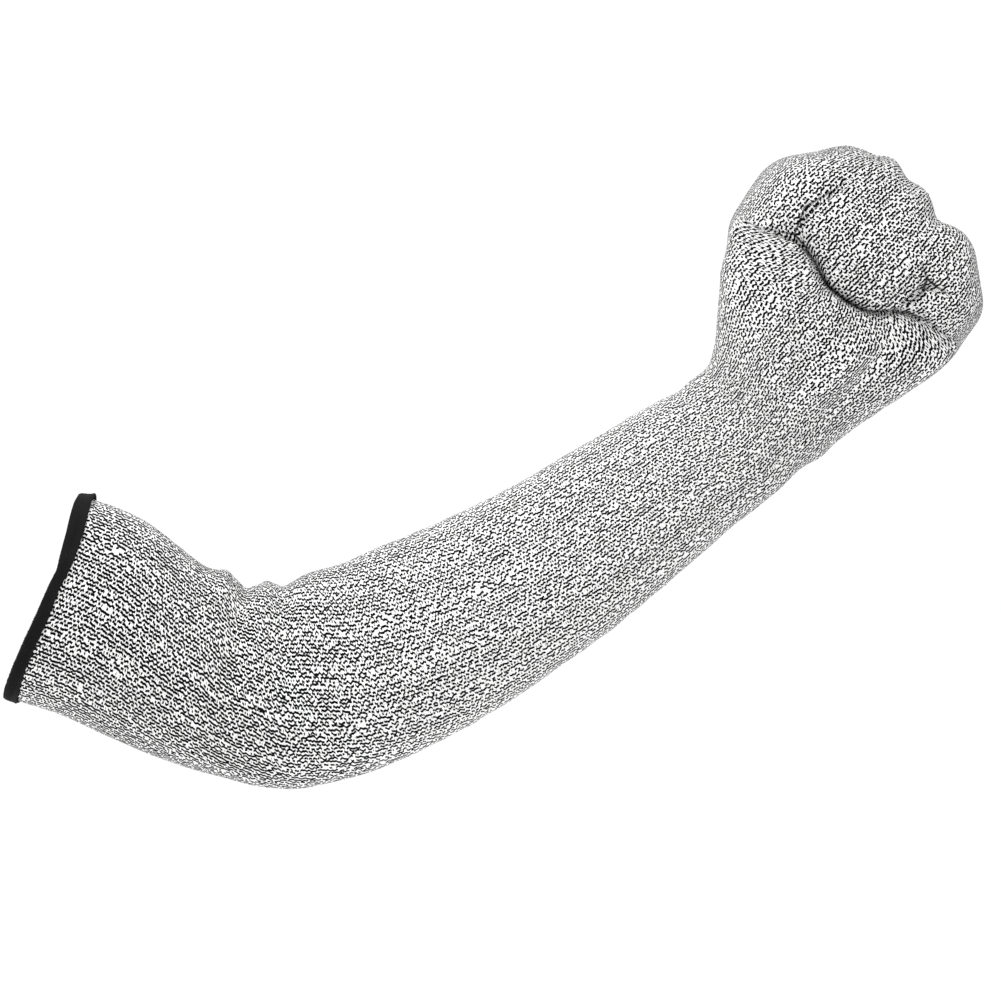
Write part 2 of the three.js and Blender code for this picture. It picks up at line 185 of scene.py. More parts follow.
foldLines = [[(elbowCentre[0] + x * worn["elbowWidth"], elbowCentre[1] + z * worn["elbowWidth"], h)
              for x, z, h in rows] for rows in elbowFolds]


def foldHeight(point, height, width):
    total = 0
    for line in foldLines:
        distance, value = nearestOnLine(point[..., 0], point[..., 2], line)
        total = total + value * height * np.clip(1 - (distance / width) ** 2, 0, 1) ** 2
    return total


def armRing(distance, angle):
    # points of the tube at distances from the opening, turned from the upper edge over the front
    t = np.interp(distance, axisRun, axisT)
    x, z, tilt, halfWide, halfDeep = np.moveaxis(splineAt(sections, t), -1, 0)
    spoke = (upward(tilt) * (halfWide * np.cos(angle))[..., None]
             + front * (halfDeep * np.sin(angle))[..., None])
    point = np.stack([x, 0 * x, z], -1) + spoke
    outward = spoke / np.linalg.norm(spoke, axis=-1, keepdims=True)
    folds = foldHeight(point, worn["elbowFoldHeight"], worn["elbowFoldWidth"])
    return point + outward * folds[..., None], outward


def handFormList():
    forms = []
    for along, across, lift, wide, deep in handForms.values():
        start, end = (wristCentre + palmAhead * along[k] * worn["palmLength"]
                      + palmUpward * across[k] * worn["fistWidth"]
                      + front * lift * worn["fistDepth"] for k in (0, 1))
        size = np.array([wide * worn["fistWidth"], deep * worn["fistDepth"], wide * worn["fistWidth"]])
        forms.append((start, end, size))
    return forms


forms = handFormList()


def handDistance(point):
    # distance to the closed end's stretched forms, below zero inside them
    total = 0
    for start, end, size in forms:
        run = end - start
        away = point - start
        if run @ run > 0:
            away = away - np.clip(away @ run / (run @ run), 0, 1)[..., None] * run
        scaled = away / size
        length = np.linalg.norm(scaled, axis=-1)
        distance = length * (length - 1) / np.maximum(np.linalg.norm(scaled / size, axis=-1), 1e-9)
        total = total + np.exp(-np.clip(distance / worn["formBlend"], -20, 20))
    return -worn["formBlend"] * np.log(total)


def castRays(start, direction, steps=50, halvings=12):
    # length of each ray to the closed end's outermost surface
    reach = float(worn["fistWidth"])
    inside = np.full(len(direction), reach)
    outside = np.full(len(direction), reach)
    open_ = np.ones(len(direction), bool)
    for k in range(1, steps):
        which = np.flatnonzero(open_)
        if not len(which):
            break
        radius = reach * (1 - k / steps)
        hit = handDistance(start[which] + direction[which] * radius) <= 0
        inside[which] = radius
        outside[which] = radius + reach / steps
        open_[which[hit]] = False
    for _ in range(halvings):
        middle = (inside + outside) / 2
        isOut = handDistance(start + direction * middle[:, None]) > 0
        outside = np.where(isOut, middle, outside)
        inside = np.where(isOut, inside, middle)
    return (inside + outside) / 2


def fistPlace(across, along):
    # a place on the closed end in shares of its width, from the middle of the long crease
    return tuckCentre + (palmUpward * across + palmAhead * along) * worn["fistWidth"]


def creaseLine(rows):
    line = []
    for across, along, value in rows:
        place = fistPlace(across, along)
        line.append((place[0], place[2], value))
    return line


tuckLine = creaseLine(tuckRows)
smallCreases = [creaseLine(fingerCreaseRows), creaseLine(littleFingerCreaseRows)]


def tuckDirections():
    # the long crease as directions from its centre, from its lower end to its upper one
    places = []
    depths = np.arange(-worn["fistDepth"], 0, worn["fistDepth"] / 50)
    for x, z, _ in tuckLine:
        column = np.stack([0 * depths + x, depths, 0 * depths + z], -1)
        hits = np.flatnonzero(handDistance(column) <= 0)
        hit = np.array([x, depths[hits[0]] if len(hits) else 0.0, z]) - tuckCentre
        along = hit @ ahead(tuckTilt)
        places.append((math.atan2(hit @ upward(tuckTilt), math.hypot(along, hit[1])),
                       math.atan2(-hit[1], along)))
    return np.array(sorted(places))


tuck = tuckDirections()

# Fine relief that the knit adds to the solids' shape, in millimetres. The crease lines are the
# solids' own, drawn narrower and sharper, and the ripples are where the stretched knit gathers.
knitRelief = {
    "tuckWidth": 5.0, "creaseWidth": 3.6,
    "sharpDepth": 3.0, "sharpWidth": 2.2,
    "foldHeight": 1.1, "foldWidth": 3.4,
    "unevenness": 0.22, "unevenAfterRings": 12,
}
# Swellings and notches of the closed end's outline: across and along in shares of fistWidth, height, radius
knuckleRows = [
    (0.33, 0.49, 1.4, 7.0), (0.23, 0.535, -1.0, 4.0), (0.158, 0.545, 1.3, 6.0), (0.08, 0.545, -0.9, 4.0),
    (-0.01, 0.53, 2.9, 7.0), (-0.11, 0.483, -1.6, 4.0), (-0.21, 0.47, 1.4, 8.0),
]
# Slow waves of the cloth: height, how fast they run along x, y and z, and their own bend
unevenWaves = [
    (1.0, (0.23, 0.0, 0.31), 1.7, (0.07, 0.11)),
    (0.6, (0.0, -0.29, 0.41), 1.3, (0.13, 0.0)),
    (0.35, (0.71, 0.37, -0.53), 0.0, (0.0, 0.0)),
]


def onPalmSide(point):
    # 1 on the front, falling to 0 just behind the middle
    return np.clip((worn["tuckWidth"] / 4 - point[..., 1]) / (1.5 * worn["tuckWidth"]), 0, 1)


def creaseCut(point, line, depth, width, power=2):
    distance, value = nearestOnLine(point[..., 0], point[..., 2], line)
    return value * depth * np.clip(1 - distance / width, 0, 1) ** power


def creaseAt(point):
    palmCrease = creaseCut(point, tuckLine, worn["tuckDepth"], knitRelief["tuckWidth"])
    small = np.maximum(*(creaseCut(point, line, worn["creaseDepth"], knitRelief["creaseWidth"])
                         for line in smallCreases))
    return (palmCrease + small) * onPalmSide(point)


def sharpCrease(point):
    total = 0
    for line in [tuckLine, *smallCreases]:
        cut = creaseCut(point, line, knitRelief["sharpDepth"], knitRelief["sharpWidth"], 1.5)
        total = np.maximum(total, cut)
    return total * onPalmSide(point)


def knuckleHeight(point):
    total = 0
    for across, along, height, radius in knuckleRows:
        place = fistPlace(across, along)
        away = np.hypot(point[..., 0] - place[0], point[..., 2] - place[2])
        total = total + height * np.exp(-(away / radius) ** 2)
    return total


def unevenness(point):
    total = 0
    for height, run, bend, (bendX, bendY) in unevenWaves:
        phase = point @ np.array(run) + bend * np.sin(bendX * point[..., 0] + bendY * point[..., 1])
        total = total + height * np.sin(phase)
    return total / sum(height for height, *_ in unevenWaves)


def handRing(share, rays):
    climb = min(share / worn["settledAt"], 1)
    close = max((share - worn["settledAt"]) / (1 - worn["settledAt"]), 0)
    tilt = mix(wristTilt, tuckTilt, smooth(climb, 0, 1))
    bend = wristCentre + ahead(np.float64(wristTilt)) * worn["palmLength"] * worn["wristCarry"]
    start = wristCentre * (1 - climb) ** 2 + bend * 2 * climb * (1 - climb) + tuckCentre * climb ** 2
    turn = max((share - worn["turnFrom"]) / (1 - worn["turnFrom"]), 0) ** worn["turnPower"]
    closing = max((share - worn["closeFrom"]) / (1 - worn["closeFrom"]), 0)
    squareness = 2 + worn["firstSquareness"] * (1 - closing) ** 4
    blend = smooth(share, 0, worn["handFormsFrom"])
    lag = math.radians(worn["palmLag"])
    around = 4 * np.arange(rays) / rays
    isFront = around <= 2
    place = np.where(isFront, 1 - around, around - 3)
    end = np.where(place > 0, tuck[-1, 0], -tuck[0, 0])
    sideways = place * mix(math.pi / 2, end, smooth(closing, 0, 1))
    bulge = (1 - np.abs(place) ** squareness) ** (1 / squareness)
    meeting = np.interp(sideways, tuck[:, 0], tuck[:, 1])
    frontLean = mix(math.pi / 2, meeting + lag, smooth(climb, 0, 1)) - lag * close
    backLean = mix(-math.pi / 2, meeting, turn)
    middle = (frontLean + backLean) / 2
    lean = middle + (np.where(isFront, frontLean, backLean) - middle) * bulge
    direction = (upward(tilt) * np.sin(sideways)[:, None]
                 + ahead(tilt) * (np.cos(sideways) * np.cos(lean))[:, None]
                 + front * (np.cos(sideways) * np.sin(lean))[:, None])
    wristRadius = 1 / np.hypot(np.sin(sideways) / (worn["wristWidth"] / 2),
                               np.cos(sideways) / (worn["wristDepth"] / 2))
    starts = np.repeat(start[None], rays, 0)
    radius = mix(wristRadius, castRays(starts, direction) if blend > 0 else wristRadius, blend)
    surface = start + direction * radius[:, None]
    base = start + direction * (radius - blend * creaseAt(surface))[:, None]
    sharp = base + direction * (blend * (knuckleHeight(surface) - sharpCrease(surface)))[:, None]
    return base, sharp


def evenRing(ring, others, count):
    # evenly spaced points along the ring's front half and its back half, and the same places of others
    rays = len(ring)
    out = [[] for _ in range(len(others) + 1)]
    for first, last in ((0, rays // 2), (rays // 2, rays)):
        which = np.arange(first, last + 1) % rays
        run = np.r_[0, np.cumsum(np.linalg.norm(np.diff(ring[which], axis=0), axis=1))]
        at = np.arange(count // 2) / (count // 2) * run[-1]
        for k, points in enumerate([ring, *others]):
            out[k].append(np.stack([np.interp(at, run, points[which, c]) for c in range(3)], -1))
    return [np.vstack(halves) for halves in out]


def gridFaces(ringCount, columns, offset, flipped):
    # quads of a closed tube of rings whose last ring closes on itself, front half on back half
    faces, corners = [], []
    for i in range(ringCount - 1):
        for j in range(columns):
            cell = [(i, j), (i, j + 1), (i + 1, j + 1), (i + 1, j)]
            if flipped:
                cell.reverse()
            face = []
            for row, column in cell:
                place = column % columns
                if row == ringCount - 1:
                    place = min(place, (columns - place) % columns)
                face.append(offset + row * columns + place)
            faces.append(face)
            corners.append(cell)
    return faces, corners


def vertexNormals(points, faces):
    faces = np.array(faces)
    cross = np.cross(points[faces[:, 2]] - points[faces[:, 0]], points[faces[:, 3]] - points[faces[:, 1]])
    normals = np.zeros_like(points)
    for k in range(4):
        np.add.at(normals, faces[:, k], cross)
    return normals / np.maximum(np.linalg.norm(normals, axis=1, keepdims=True), 1e-9)


def addObject(name, vertices, faces, uvMaps=None):
    mesh = bpy.data.meshes.new(name)
    mesh.from_pydata([tuple(v) for v in np.asarray(vertices) * millimetre], [], faces)
    for mapName, coordinates in (uvMaps or {}).items():
        layer = mesh.uv_layers.new(name=mapName)
        layer.data.foreach_set("uv", np.asarray(coordinates, np.float32).ravel())
    mesh.polygons.foreach_set("use_smooth", np.ones(len(mesh.polygons), bool))
    mesh.update()
    piece = bpy.data.objects.new(name, mesh)
    bpy.context.scene.collection.objects.link(piece)
    return piece


# Shader groups that the materials share
def newGroup(name, inputs, outputs):
    group = bpy.data.node_groups.new(name, "ShaderNodeTree")
    for label, kind, value in inputs:
        socket = group.interface.new_socket(name=label, in_out="INPUT", socket_type=kind)
        if value is not None:
            socket.default_value = value
    for label, kind in outputs:
        group.interface.new_socket(name=label, in_out="OUTPUT", socket_type=kind)
    return group, group.nodes.new("NodeGroupInput"), group.nodes.new("NodeGroupOutput")


def joinTo(tree, value, socket):
    if isinstance(value, bpy.types.NodeSocket):
        tree.links.new(value, socket)
    else:
        socket.default_value = value


def calc(tree, operation, first, second=None, third=None, clamp=False):
    node = tree.nodes.new("ShaderNodeMath")
    node.operation = operation
    node.use_clamp = clamp
    for k, value in enumerate((first, second, third)):
        if value is not None:
            joinTo(tree, value, node.inputs[k])
    return node.outputs[0]


def ramp(tree, value, low, high):
    # 0 at low and 1 at high, eased
    node = tree.nodes.new("ShaderNodeMapRange")
    node.interpolation_type = "SMOOTHSTEP"
    joinTo(tree, value, node.inputs["Value"])
    joinTo(tree, low, node.inputs["From Min"])
    joinTo(tree, high, node.inputs["From Max"])
    return node.outputs["Result"]


def lineNoise(tree, along, alongScale, line, lineScale):
    # smooth noise over two plain numbers
    vector = tree.nodes.new("ShaderNodeCombineXYZ")
    joinTo(tree, calc(tree, "MULTIPLY", along, alongScale), vector.inputs[0])
    joinTo(tree, calc(tree, "MULTIPLY_ADD", line, lineScale, 0.5), vector.inputs[1])
    node = tree.nodes.new("ShaderNodeTexNoise")
    node.noise_dimensions = "2D"
    tree.links.new(vector.outputs[0], node.inputs["Vector"])
    node.inputs["Scale"].default_value = 1.0
    node.inputs["Detail"].default_value = 0.0
    return node.outputs["Fac"]


def noiseAt(tree, vector, scale, detail=2.0):
    node = tree.nodes.new("ShaderNodeTexNoise")
    joinTo(tree, vector, node.inputs["Vector"])
    joinTo(tree, scale, node.inputs["Scale"])
    node.inputs["Detail"].default_value = detail
    return node.outputs["Fac"]


def mixColour(tree, share, first, second, blendType="MIX"):
    node = tree.nodes.new("ShaderNodeMix")
    node.data_type = "RGBA"
    node.blend_type = blendType
    joinTo(tree, share, node.inputs["Factor"])
    joinTo(tree, first, node.inputs["A"])
    joinTo(tree, second, node.inputs["B"])
    return node.outputs["Result"]


def mixValue(tree, share, first, second):
    node = tree.nodes.new("ShaderNodeMix")
    joinTo(tree, share, node.inputs["Factor"])
    joinTo(tree, first, node.inputs["A"])
    joinTo(tree, second, node.inputs["B"])
    return node.outputs["Result"]


def greyColour(tree, value):
    node = tree.nodes.new("ShaderNodeCombineColor")
    for k in range(3):
        tree.links.new(value, node.inputs[k])
    return node.outputs[0]


def placeGroup(tree, group, **values):
    node = tree.nodes.new("ShaderNodeGroup")
    node.node_tree = group
    for label, value in values.items():
        joinTo(tree, value, node.inputs[label.replace("_", " ")])
    return node


# How the dark yarn runs: noise scales along a wale, how far apart the wales' noises lie, and edges
dashPattern = {
    "pathScale": 0.95, "pathSpacing": 7.31,
    "gapScale": 1.2, "gapSpacing": 5.17, "pairShift": 3.7,
    "edgeSoftness": 0.05, "gapSoftness": 0.04,
    "greyAlong": 0.8, "greyAcross": 2.0, "greyRange": (0.5, 0.76),
    "legPower": 0.8, "loopPower": 0.6, "loopShare": 0.45,
}


def makeWaleGroup():
    # The dark yarn of one wale: a line that wanders about the wale's middle and breaks into dashes
    group, into, out = newGroup("waleDashes", [
        ("Across", "NodeSocketFloat", 0.0),
        ("Along", "NodeSocketFloat", 0.0),
        ("Wale", "NodeSocketFloat", 0.0),
        ("Wander", "NodeSocketFloat", 0.65),
        ("Gaps", "NodeSocketFloat", 0.38),
        ("Half Width", "NodeSocketFloat", 0.33),
    ], [("Dark", "NodeSocketFloat")])
    wale, along = into.outputs["Wale"], into.outputs["Along"]
    path = lineNoise(group, along, dashPattern["pathScale"], wale, dashPattern["pathSpacing"])
    path = calc(group, "SUBTRACT", path, 0.5)
    middle = calc(group, "ADD", calc(group, "MULTIPLY_ADD", path, into.outputs["Wander"], 0.5), wale)
    away = calc(group, "ABSOLUTE", calc(group, "SUBTRACT", into.outputs["Across"], middle))
    width, soft = into.outputs["Half Width"], dashPattern["edgeSoftness"]
    inside = ramp(group, away, calc(group, "ADD", width, soft), calc(group, "SUBTRACT", width, soft))
    # the two wales of a pair take opposite values, so their gaps don't fall side by side
    pair = calc(group, "FLOOR", calc(group, "MULTIPLY", wale, 0.5))
    isSecond = calc(group, "MULTIPLY_ADD", pair, -2.0, wale)
    shifted = calc(group, "MULTIPLY_ADD", pair, dashPattern["pairShift"], along)
    value = lineNoise(group, shifted, dashPattern["gapScale"], pair, dashPattern["gapSpacing"])
    value = mixValue(group, isSecond, value, calc(group, "SUBTRACT", 1.0, value))
    gaps, soft = into.outputs["Gaps"], dashPattern["gapSoftness"]
    dashes = ramp(group, value, calc(group, "SUBTRACT", gaps, soft), calc(group, "ADD", gaps, soft))
    group.links.new(calc(group, "MULTIPLY", inside, dashes), out.inputs["Dark"])
    return group


def makeStitchGroup(waleGroup):
    # The knit's loops from a vector counted in stitches: the legs' height, the dark yarn's dashes
    # on each wale and its two neighbours, and the streaks of grey yarn between them
    group, into, out = newGroup("knitLegs", [
        ("Stitches", "NodeSocketVector", None),
        ("Slant", "NodeSocketFloat", 0.8),
        ("Wander", "NodeSocketFloat", 0.65),
        ("Gaps", "NodeSocketFloat", 0.38),
        ("Half Width", "NodeSocketFloat", 0.33),
    ], [("Height", "NodeSocketFloat"), ("Dark", "NodeSocketFloat"), ("Grey", "NodeSocketFloat")])
    parts = group.nodes.new("ShaderNodeSeparateXYZ")
    group.links.new(into.outputs["Stitches"], parts.inputs[0])
    across, along = parts.outputs[0], parts.outputs[1]
    wale = calc(group, "FLOOR", across)
    wander, gaps, width = (into.outputs[label] for label in ("Wander", "Gaps", "Half Width"))
    dark = 0.0
    for step in (-1.0, 0.0, 1.0):
        one = placeGroup(group, waleGroup, Across=across, Along=along, Wale=calc(group, "ADD", wale, step),
                         Wander=wander, Gaps=gaps, Half_Width=width)
        dark = calc(group, "MAXIMUM", one.outputs["Dark"], dark)
    streaks = lineNoise(group, along, dashPattern["greyAlong"], across, dashPattern["greyAcross"])
    grey = ramp(group, streaks, *dashPattern["greyRange"])
    legShare = calc(group, "FRACT", calc(group, "MULTIPLY", across, 2.0))
    ridge = calc(group, "SINE", calc(group, "MULTIPLY", legShare, math.pi))
    side = calc(group, "ABSOLUTE", calc(group, "SUBTRACT", calc(group, "FRACT", across), 0.5))
    slanted = calc(group, "MULTIPLY_ADD", calc(group, "MULTIPLY", side, 2.0), into.outputs["Slant"], along)
    loop = calc(group, "SINE", calc(group, "MULTIPLY", calc(group, "FRACT", slanted), math.pi))
    loop = calc(group, "POWER", loop, dashPattern["loopPower"])
    loop = calc(group, "MULTIPLY_ADD", loop, dashPattern["loopShare"], 1 - dashPattern["loopShare"])
    height = calc(group, "MULTIPLY", calc(group, "POWER", ridge, dashPattern["legPower"]), loop)
    for label, value in (("Height", height), ("Dark", dark), ("Grey", grey)):
        group.links.new(value, out.inputs[label])
    return group


def makeCreaseGroup():
    # Painted shade in a tight crease along one straight piece of it, seen square to the tube's plane
    group, into, out = newGroup("creaseShade", [
        ("Vector", "NodeSocketVector", None),
        ("From", "NodeSocketVector", None),
        ("To", "NodeSocketVector", None),
        ("Start", "NodeSocketFloat", 1.0),
        ("End", "NodeSocketFloat", 1.0),
        ("Width", "NodeSocketFloat", 0.001),
    ], [("Shade", "NodeSocketFloat")])

    def vectorCalc(operation, first, second=None, result=0):
        node = group.nodes.new("ShaderNodeVectorMath")
        node.operation = operation
        joinTo(group, first, node.inputs[0])
        if second is not None:
            joinTo(group, second, node.inputs["Scale"] if operation == "SCALE" else node.inputs[1])
        return node.outputs[result]

    start = into.outputs["From"]
    run = vectorCalc("SUBTRACT", into.outputs["To"], start)
    place = vectorCalc("SUBTRACT", vectorCalc("MULTIPLY", into.outputs["Vector"], (1, 0, 1)), start)
    covered, length = (vectorCalc("DOT_PRODUCT", one, run, 1) for one in (place, run))
    share = calc(group, "DIVIDE", covered, length, clamp=True)
    away = vectorCalc("LENGTH", vectorCalc("SUBTRACT", place, vectorCalc("SCALE", run, share)), None, 1)
    width = into.outputs["Width"]
    near = ramp(group, away, width, calc(group, "MULTIPLY", width, 0.2))
    strength = mixValue(group, share, into.outputs["Start"], into.outputs["End"])
    group.links.new(calc(group, "MULTIPLY", near, strength), out.inputs["Shade"])
    return group


def makeFuzzGroup():
    # Loose fibre ends and the uneven twist of spun yarn, from a vector in metres
    group, into, out = newGroup("yarnFuzz", [
        ("Vector", "NodeSocketVector", None),
        ("Fibre Size", "NodeSocketFloat", 0.0004),
        ("Patch Size", "NodeSocketFloat", 0.012),
    ], [("Fibres", "NodeSocketFloat"), ("Patches", "NodeSocketFloat")])
    vector = into.outputs["Vector"]
    fibres = noiseAt(group, vector, calc(group, "DIVIDE", 1.0, into.outputs["Fibre Size"]), 3.0)
    patches = noiseAt(group, vector, calc(group, "DIVIDE", 1.0, into.outputs["Patch Size"]), 2.0)
    group.links.new(fibres, out.inputs["Fibres"])
    group.links.new(patches, out.inputs["Patches"])
    return group


stitchGroup = makeStitchGroup(makeWaleGroup())
fuzzGroup = makeFuzzGroup()
creaseGroup = makeCreaseGroup()


def newMaterial(name):
    material = bpy.data.materials.new(name)
    material.use_nodes = True
    tree = material.node_tree
    shader = tree.nodes["Principled BSDF"]
    return material, tree, shader


def addBump(tree, shader, height, distance, strength=1.0):
    bump = tree.nodes.new("ShaderNodeBump")
    bump.inputs["Distance"].default_value = distance
    bump.inputs["Strength"].default_value = strength
    tree.links.new(height, bump.inputs["Height"])
    tree.links.new(bump.outputs["Normal"], shader.inputs["Normal"])


# Painted shade along the tip of the small lower fold, and beside it: across, along, strength
littleFoldShadeRows = [
    (-0.215, 0.149, 0.6), (-0.229, 0.218, 0.8), (-0.208, 0.258, 1.0),
    (-0.257, 0.257, 1.0), (-0.317, 0.267, 0.3),
]
besideFoldShadeRows = [(-0.139, 0.296, 0.2), (-0.208, 0.258, 0.8)]

marlFinish = {
    "white": (0.92, 0.92, 0.915, 1), "grey": (0.40, 0.40, 0.41, 1), "black": (0.003, 0.003, 0.0035, 1),
    "slant": 0.9, "wander": 0.74, "greyShare": 0.4,
    # the dashes zigzag more where the tube bends, between these places along X in metres
    "elbowWander": 1.12, "elbowFrom": (0.06, 0.13), "elbowTo": (0.155, 0.225),
    # the dark yarn's gaps and width before the bend, after it and on the closed end
    "gaps": (0.34, 0.385, 0.36), "halfWidth": (0.34, 0.31, 0.325),
    "forearmFrom": (0.08, 0.20), "fistFrom": (0.29, 0.36),      # metres along X
    # painted shade at each place of the long crease and of the one above it
    "tuckShades": (0.1, 0.6, 1.0, 0.85, 0.5, 0.95, 0.55, 0.25, 0.2, 0.7, 0.6, 0.1),
    "fingerShades": (0.9, 0.9, 0.6, 0.0),
    # the painted crease shade: its width, its strength, and where along y it comes in on the front, in
    # metres
    "creaseWidth": 0.0009, "creaseShadeStrength": 0.95, "creaseShadeDepths": (-0.004, -0.012),
    # the first value darkens the colour where the loops lie low: painted shade between the loops
    "paintedGrooveShade": 0.12, "fibreSize": 0.0005, "fibreShade": 0.2, "fibreHeight": 0.5,
    "relief": 0.0004, "roughness": 0.95, "specular": 0.03,
}


def creaseShades(tree, vector):
    # the darkest of the painted shades along all the creases
    shaded = [(tuckLine, marlFinish["tuckShades"]), (smallCreases[0], marlFinish["fingerShades"])]
    for rows in (littleFoldShadeRows, besideFoldShadeRows):
        shaded.append((creaseLine(rows), [strength for _, _, strength in rows]))
    shade = 0.0
    for line, values in shaded:
        places = [(x * millimetre, 0, z * millimetre) for x, z, _ in line]
        for k in range(len(line) - 1):
            crease = placeGroup(tree, creaseGroup, Vector=vector, From=places[k], To=places[k + 1],
                                Start=values[k], End=values[k + 1], Width=marlFinish["creaseWidth"])
            shade = calc(tree, "MAXIMUM", crease.outputs["Shade"], shade)
    return shade


def makeMarlKnit():
    material, tree, shader = newMaterial("marlKnit")
    uv = tree.nodes.new("ShaderNodeUVMap")
    uv.uv_map = "knitUV"
    place = tree.nodes.new("ShaderNodeTexCoord")
    parts = tree.nodes.new("ShaderNodeSeparateXYZ")
    tree.links.new(place.outputs["Object"], parts.inputs[0])
    x, y = parts.outputs[0], parts.outputs[1]
    onForearm = ramp(tree, x, *marlFinish["forearmFrom"])
    onFist = ramp(tree, x, *marlFinish["fistFrom"])

    def alongArm(upperArm, forearm, fist):
        return mixValue(tree, onFist, mixValue(tree, onForearm, upperArm, forearm), fist)

    onElbow = calc(tree, "SUBTRACT", ramp(tree, x, *marlFinish["elbowFrom"]),
                   ramp(tree, x, *marlFinish["elbowTo"]))
    wander = mixValue(tree, onElbow, marlFinish["wander"], marlFinish["elbowWander"])
    legs = placeGroup(tree, stitchGroup, Stitches=uv.outputs[0], Slant=marlFinish["slant"], Wander=wander,
                      Gaps=alongArm(*marlFinish["gaps"]), Half_Width=alongArm(*marlFinish["halfWidth"]))
    fuzz = placeGroup(tree, fuzzGroup, Vector=place.outputs["Object"], Fibre_Size=marlFinish["fibreSize"])
    isGrey = calc(tree, "MULTIPLY", legs.outputs["Grey"], marlFinish["greyShare"])
    ground = mixColour(tree, isGrey, marlFinish["white"], marlFinish["grey"])
    # painted shade: the colour darkens between the loops, where their height is low
    low = calc(tree, "SUBTRACT", 1.0, legs.outputs["Height"])
    groove = calc(tree, "MULTIPLY_ADD", low, -marlFinish["paintedGrooveShade"], 1.0, clamp=True)
    ground = mixColour(tree, 1.0, ground, greyColour(tree, groove), "MULTIPLY")
    fibres = calc(tree, "SUBTRACT", fuzz.outputs["Fibres"], 0.5)
    soft = calc(tree, "MULTIPLY_ADD", fibres, marlFinish["fibreShade"], 1.0)
    ground = mixColour(tree, 1.0, ground, greyColour(tree, soft), "MULTIPLY")
    # painted shade in the creases, full on the front, is laid on with the dark yarn's black
    onPalm = ramp(tree, y, *marlFinish["creaseShadeDepths"])
    shade = calc(tree, "MULTIPLY", creaseShades(tree, place.outputs["Object"]), onPalm)
    shade = calc(tree, "MULTIPLY", shade, marlFinish["creaseShadeStrength"])
    dark = calc(tree, "MAXIMUM", legs.outputs["Dark"], shade)
    tree.links.new(mixColour(tree, dark, ground, marlFinish["black"]), shader.inputs["Base Color"])
    shader.inputs["Roughness"].default_value = marlFinish["roughness"]
    shader.inputs["Specular IOR Level"].default_value = marlFinish["specular"]
    fibreHeight = calc(tree, "MULTIPLY", fuzz.outputs["Fibres"], marlFinish["fibreHeight"])
    addBump(tree, shader, calc(tree, "ADD", legs.outputs["Height"], fibreHeight), marlFinish["relief"])
    return material


threadFinish = {
    "colour": (0.0060, 0.0054, 0.0054, 1), "lint": (0.026, 0.024, 0.024, 1),
    "fibreSize": 0.00045, "patchSize": 0.01, "fibreRange": (0.5, 0.75), "patchRange": (0.3, 0.8),
    "relief": 0.00015, "roughness": 0.9, "specular": 0.10,
}


def makeEdgeThread():
    material, tree, shader = newMaterial("edgeThread")
    place = tree.nodes.new("ShaderNodeTexCoord")
    fuzz = placeGroup(tree, fuzzGroup, Vector=place.outputs["Object"],
                      Fibre_Size=threadFinish["fibreSize"], Patch_Size=threadFinish["patchSize"])
    fibres = ramp(tree, fuzz.outputs["Fibres"], *threadFinish["fibreRange"])
    patches = ramp(tree, fuzz.outputs["Patches"], *threadFinish["patchRange"])
    share = calc(tree, "MULTIPLY", fibres, patches)
    colour = mixColour(tree, share, threadFinish["colour"], threadFinish["lint"])
    tree.links.new(colour, shader.inputs["Base Color"])
    shader.inputs["Roughness"].default_value = threadFinish["roughness"]
    shader.inputs["Specular IOR Level"].default_value = threadFinish["specular"]
    addBump(tree, shader, fuzz.outputs["Fibres"], threadFinish["relief"])
    return material


marlKnit = makeMarlKnit()
edgeThread = makeEdgeThread()
print("materials made")

# The opening's edge, from its upper side (0) to its lower side (1): how far it draws back into
# the sleeve and how wide the binding is there, in millimetres
openingEdge = {
    "share": (0.0, 0.16, 0.28, 0.35, 0.42, 0.58, 0.81, 1.0),
    "drawnBack": (-0.7, 2.0, 3.5, 4.5, 3.8, 3.0, 1.0, -0.6),
    "width": (6.5, 6.9, 6.2, 5.0, 4.9, 5.8, 5.9, 6.9),
    "fadesOver": 26,
}


def edgeAt(angle, what):
    return np.interp((1 - np.cos(angle)) / 2, openingEdge["share"], openingEdge[what])


# The knitted tube, in millimetres
knit = {
    "wales": 168, "rays": 336,
    "courseLength": 1.1,           # one row of loops along the tube
    "ringStep": 1.3, "handRings": 112,
    "wall": 1.6, "edgeInBinding": 1.3,
    "innerEvery": 4,               # the inner face has every fourth ring
    # how fast the wales wind round the tube: places along it, and wales for each millimetre there
    "windingAt": (0, 45, 80, 110, 140, 170, 230, 300),
    "winding": (0.02, 0.06, 0.20, 0.23, 0.16, 0.09, 0.01, 0.0),
    # the share of the wales that is left along the tube, and how soon the closed end has them all again
    "narrowAt": (0.0, 0.3, 1.0), "narrowTo": (0.92, 0.92, 0.77), "fullAgainAt": 0.3,
    "backOfHand": 1.35,            # and the most there are behind the closed end, where it is broad
    "widerAtEdges": 0.13,          # the stretched knit's wales are wider along the tube's two edges
    # past the crease, this far in front of the middle, the wales run straight down to it: tilt, width
    # of a wale, their centre, and how much closer they lie where the closed end turns away
    "fingersBefore": 2, "fingersAfter": 0.6,
    "fingerTilt": 46, "fingerWale": 1.6, "fingerCentre": 0.22, "fingerTurn": 0.5,
    # the bake map: the outer face's share of its width, the inner face's end, the rim and a margin
    "bakeShare": 0.87, "bakeInnerEnd": 0.988, "bakeRim": (0.991, 0.997), "bakeMargin": 0.003,
}


